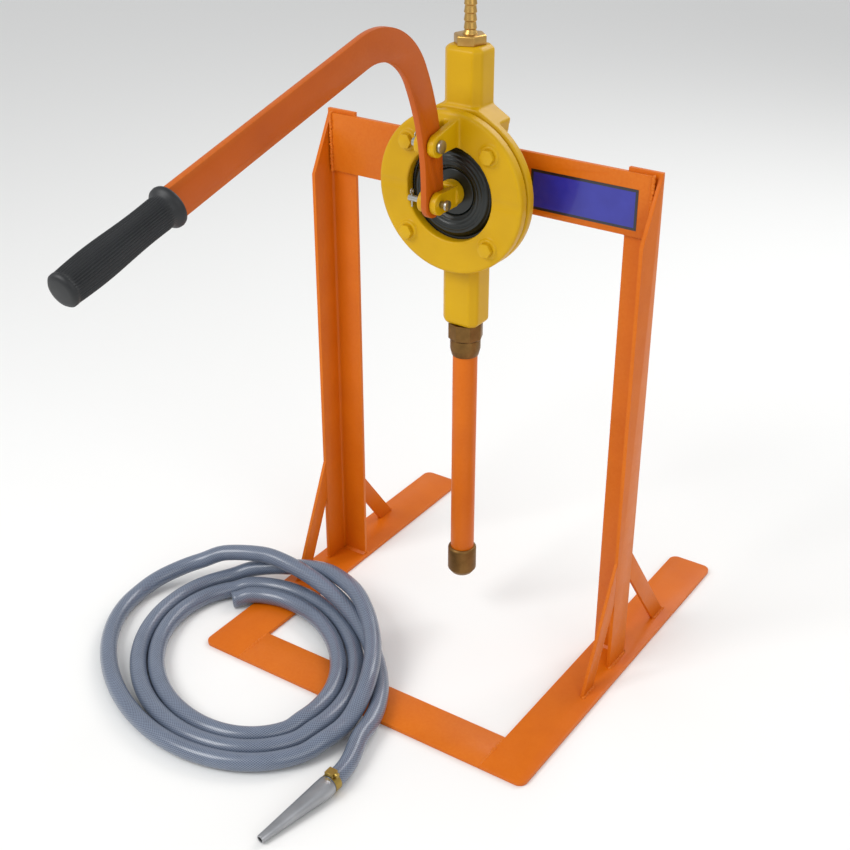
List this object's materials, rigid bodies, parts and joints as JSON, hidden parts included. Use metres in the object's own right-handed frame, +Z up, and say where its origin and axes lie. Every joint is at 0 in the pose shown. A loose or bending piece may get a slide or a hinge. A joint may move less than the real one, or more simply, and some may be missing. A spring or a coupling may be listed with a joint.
{
  "type": "hand lever diaphragm pump",
  "caption": "Hand-operated diaphragm pump with ball valves, bolted to the rail of a welded floor stand, worked by a gooseneck lever, with a coiled delivery hose and nozzle",
  "frame": {"origin": "on the floor, under the middle of the front crossbar, on its centre line", "axes": "+X to the right of the person working the lever, +Y to the back, +Z up; the grip points to -Y"},
  "size_m": [0.6972, 0.9864, 0.9075],
  "materials": {
    "frame_paint": "glossy orange enamel",
    "pump_paint": "glossy yellow enamel over cast metal",
    "lever_paint": "orange enamel",
    "diaphragm_rubber": "moulded black rubber",
    "grip_rubber": "ribbed black rubber",
    "brass": "machined brass",
    "bronze": "cast bronze, dull",
    "zinc": "zinc-plated steel",
    "yellow_zinc": "yellow-zinc plated steel",
    "nozzle_metal": "turned aluminium",
    "ball_steel": "polished steel",
    "plate_blue": "printed blue label, no lettering",
    "hose_pvc": "clear blue-grey plastic with braided cord"
  },
  "bodies": {
    "stand": {"left_foot": "frame_paint", "right_foot": "frame_paint", "front_crossbar": "frame_paint", "left_upright": "frame_paint", "right_upright": "frame_paint", "top_rail": "frame_paint", "left_front_strap": "frame_paint", "left_rear_strap": "frame_paint", "right_front_strap": "frame_paint", "right_rear_strap": "frame_paint", "left_foot_weld": "frame_paint", "right_foot_weld": "frame_paint", "pump_body": "pump_paint", "clamp_ring": "pump_paint", "clamp_bolts": "pump_paint", "clamp_nuts": "zinc", "rail_bolts": "zinc", "inlet_seat": "bronze", "inlet_stop": "zinc", "outlet_seat": "bronze", "outlet_stop": "zinc", "delivery_bushing": "brass", "delivery_barb": "brass", "union_nut": "bronze", "union_tail": "bronze", "suction_pipe": "frame_paint", "foot_cup": "bronze", "strainer_disc": "zinc", "diaphragm": "diaphragm_rubber", "fulcrum_pin": "zinc", "fulcrum_split_pin": "zinc", "name_plate": "plate_blue", "hose_coil": "hose_pvc", "hose_tail": "hose_pvc", "nozzle": "nozzle_metal", "hose_clamp": "yellow_zinc", "clamp_screw": "yellow_zinc"},
    "lever": {"lever": "lever_paint", "lever_grip": "grip_rubber"},
    "plunger": {"clevis": "pump_paint", "center_stud": "zinc", "front_plate": "diaphragm_rubber", "rear_plate": "zinc", "stud_nut": "zinc", "clevis_pin": "zinc", "clevis_split_pin": "zinc"},
    "inlet_valve": {"inlet_ball": "ball_steel"},
    "outlet_valve": {"outlet_ball": "ball_steel"}
  },
  "joints": [
    {"name": "lever_swing", "type": "hinge", "parent": "stand", "child": "lever", "pos_m": [0, 0.152, 0.74], "axis": [1, 0, 0], "range_deg": [-9, 9]},
    {"name": "diaphragm_travel", "type": "slide", "parent": "stand", "child": "plunger", "axis": [0, 1, 0], "range_m": [-0.0118, 0.0118], "deforming": ["diaphragm"]},
    {"name": "inlet_ball_lift", "type": "slide", "parent": "stand", "child": "inlet_valve", "axis": [0, 0, 1], "range_m": [0, 0.006]},
    {"name": "outlet_ball_lift", "type": "slide", "parent": "stand", "child": "outlet_valve", "axis": [0, 0, 1], "range_m": [0, 0.006]}
  ],
  "couplings": [
    {"joint": "diaphragm_travel", "follows": "lever_swing", "m_per_rad": 0.074}
  ]
}
